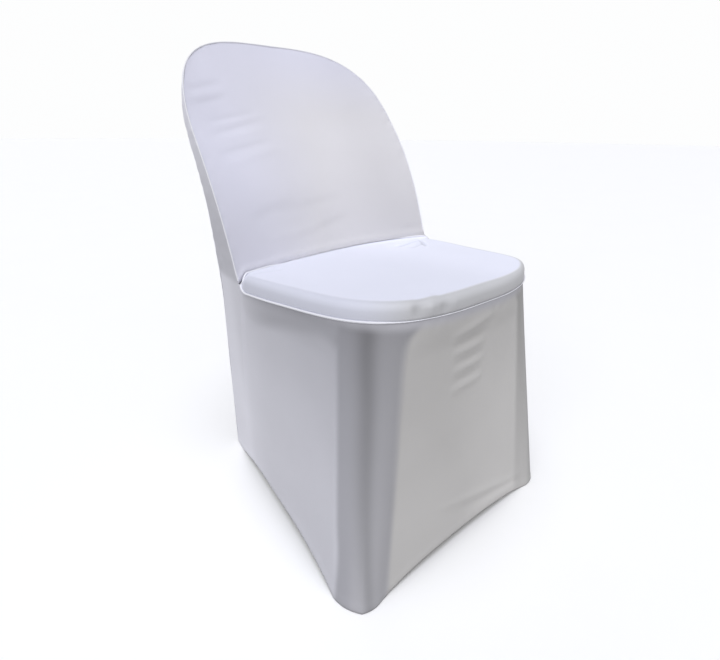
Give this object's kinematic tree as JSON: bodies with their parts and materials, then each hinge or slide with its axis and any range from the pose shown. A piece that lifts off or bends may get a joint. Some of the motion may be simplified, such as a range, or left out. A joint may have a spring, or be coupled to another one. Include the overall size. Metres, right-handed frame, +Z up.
{
  "type": "fitted chair cover",
  "caption": "Fitted stretch cover for a chair without arms: closed hood over the back, seat panel and floor-length skirt with foot pockets.",
  "frame": {"origin": "on the floor under the middle of the bounding box", "axes": "+Z up, the seat faces -Y, +X to the sitter's left hand"},
  "size_m": [0.504, 0.6099, 0.8322],
  "materials": {
    "cover_knit": "white stretch knit with a faint satin sheen",
    "pocket_knit": "white stretch knit, doubled and matte"
  },
  "bodies": {
    "root": {"back_front_panel": "cover_knit", "rear_panel": "cover_knit", "seat_panel": "cover_knit", "skirt": "cover_knit", "foot_pocket_front_left": "pocket_knit", "foot_pocket_front_right": "pocket_knit", "foot_pocket_rear_left": "pocket_knit", "foot_pocket_rear_right": "pocket_knit"}
  },
  "joints": []
}
